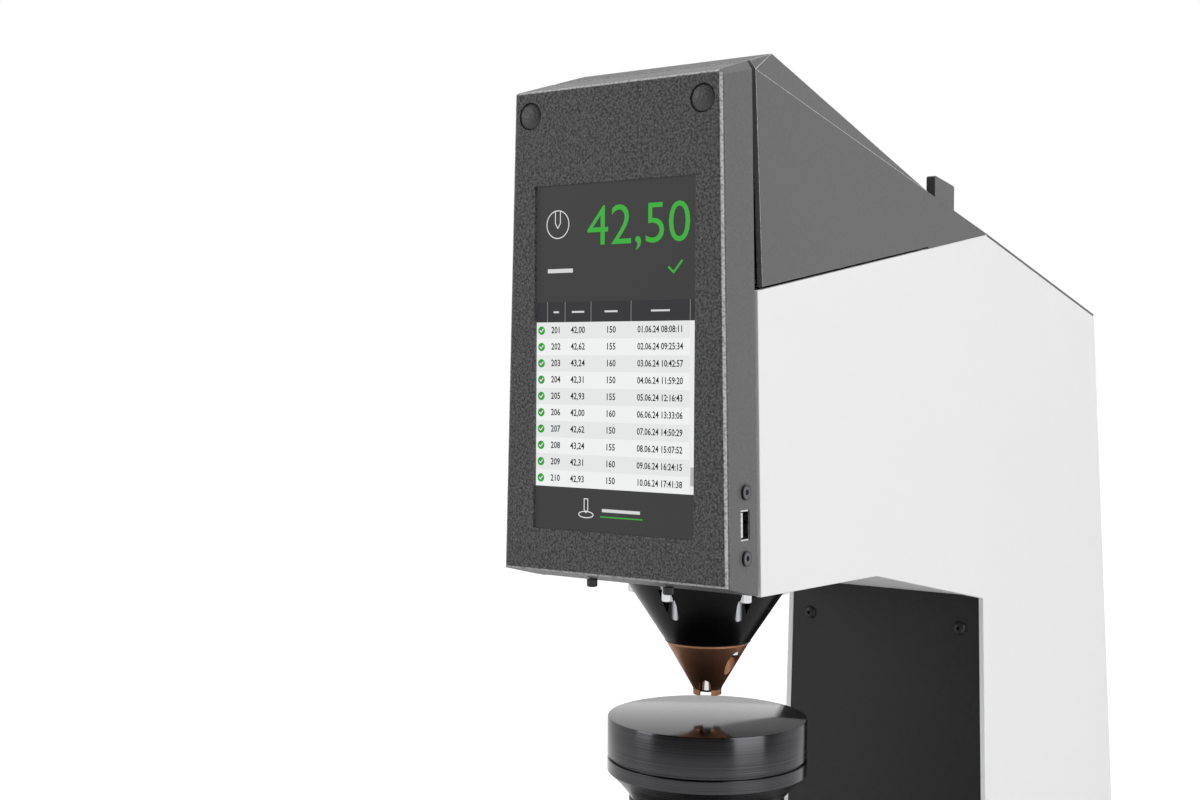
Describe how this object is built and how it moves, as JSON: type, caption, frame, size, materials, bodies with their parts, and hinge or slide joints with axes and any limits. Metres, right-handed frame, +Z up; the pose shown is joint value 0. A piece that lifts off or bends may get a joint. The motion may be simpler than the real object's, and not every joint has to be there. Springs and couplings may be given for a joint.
{
  "type": "bench hardness tester",
  "caption": "Slim bench hardness tester: touch display head with coned indenter nose over a round anvil on a bellows-covered elevating screw with handwheel, on a C-frame body.",
  "frame": {"origin": "on the bench under the middle of the machine", "axes": "+Z up, +Y to the back, display faces -Y, +X to the right seen from the front"},
  "size_m": [0.19, 0.5323, 0.8895],
  "materials": {
    "casting": "painted casting, matt grey",
    "white_panel": "satin white powder coat",
    "hood_grey": "fine textured grey powder coat",
    "lug_grey": "grey powder coat",
    "housing_charcoal": "leather grain charcoal moulding",
    "display_glass": "touch glass over the panel",
    "circuit_board": "solder resist green",
    "black_sheet": "satin black powder coat",
    "dark_plate": "blackened steel plate",
    "bright_metal": "bright plated steel",
    "dark_screw": "black oxide steel",
    "nose_black": "gloss black, turned and blackened steel",
    "nose_bronze": "satin bronze",
    "bearing_bronze": "turned bronze",
    "ground_steel": "ground and turned steel",
    "machined_aluminium": "machined aluminium",
    "belt_rubber": "moulded toothed belt",
    "motor_black": "black stepper motor case",
    "throat_grey": "pale grey powder coat",
    "foot_rubber": "moulded rubber",
    "black_plastic": "moulded black plastic",
    "supply_case": "perforated sheet case",
    "wheel_black": "moulded black grip wheel",
    "anvil_steel": "ground face, turned rim",
    "bellows_rubber": "folded black rubber"
  },
  "bodies": {
    "root": {"base_front_cover": "hood_grey", "base_plate": "dark_plate", "base_top_cover": "black_sheet", "bearing_housing": "ground_steel", "bulkhead_plate": "black_sheet", "column_cover": "black_sheet", "controller_board": "circuit_board", "cover_screws": "dark_screw", "display_module": "display_glass", "drive_plate": "machined_aluminium", "face_plugs": "housing_charcoal", "frame_casting": "casting", "front_housing": "housing_charcoal", "guide_bush": "bearing_bronze", "guide_rod": "ground_steel", "head_plate": "dark_plate", "head_screws": "bright_metal", "lan_socket": "bright_metal", "lifting_lugs": "lug_grey", "linear_rail": "ground_steel", "load_motor": "motor_black", "mains_inlet": "black_plastic", "motor_driver": "machined_aluminium", "nose_cone": "nose_black", "nose_screws": "bright_metal", "nose_tip": "nose_bronze", "power_supply": "supply_case", "rear_cover": "hood_grey", "roof_cover": "hood_grey", "rubber_feet": "foot_rubber", "screw_bearing": "ground_steel", "side_panel_left": "white_panel", "side_panel_right": "white_panel", "throat_roof": "throat_grey", "thrust_bearing": "ground_steel", "tip_screws": "bright_metal", "toothed_belt": "belt_rubber", "top_hood": "hood_grey", "usb_screws": "dark_screw", "usb_socket": "bright_metal"},
    "handwheel": {"spindle_nut": "bearing_bronze", "handwheel": "wheel_black", "bellows_cup": "machined_aluminium"},
    "spindle": {"elevating_screw": "ground_steel", "anvil": "anvil_steel", "bellows": "bellows_rubber"},
    "load_slide": {"rail_carriage": "ground_steel", "load_bracket": "machined_aluminium", "ball_nut": "ground_steel", "load_cell": "ground_steel", "quill": "ground_steel", "indenter": "bright_metal"},
    "ball_screw": {"ball_screw": "ground_steel", "screw_pulley": "machined_aluminium"},
    "motor_rotor": {"motor_pulley": "machined_aluminium"},
    "rocker": {"power_rocker": "black_plastic"}
  },
  "joints": [
    {"name": "handwheel_turn", "type": "hinge", "parent": "root", "child": "handwheel", "pos_m": [0, -0.16929, 0.262], "axis": [0, 0, 1], "range_deg": [-360, 12000]},
    {"name": "spindle_slide", "type": "slide", "parent": "root", "child": "spindle", "axis": [0, 0, 1], "range_m": [-0.2, 0.006], "deforming": ["bellows"]},
    {"name": "ball_screw_turn", "type": "hinge", "parent": "root", "child": "ball_screw", "pos_m": [0, -0.16929, 0.8], "axis": [0, 0, 1], "range_deg": [0, 216]},
    {"name": "load_slide", "type": "slide", "parent": "root", "child": "load_slide", "axis": [0, 0, 1], "range_m": [-0.003, 0]},
    {"name": "motor_turn", "type": "hinge", "parent": "root", "child": "motor_rotor", "pos_m": [0, -0.08699, 0.83], "axis": [0, 0, 1], "range_deg": [0, 648.5]},
    {"name": "rocker_tilt", "type": "hinge", "parent": "root", "child": "rocker", "pos_m": [0.0005, 0.25853, 0.07784], "axis": [-1, 0, 0], "range_deg": [0, 16]}
  ],
  "couplings": [
    {"joint": "handwheel_turn", "follows": "spindle_slide", "rad_per_m": -1047.2},
    {"joint": "ball_screw_turn", "follows": "load_slide", "rad_per_m": -1256.6},
    {"joint": "motor_turn", "follows": "load_slide", "rad_per_m": -3769.9}
  ]
}
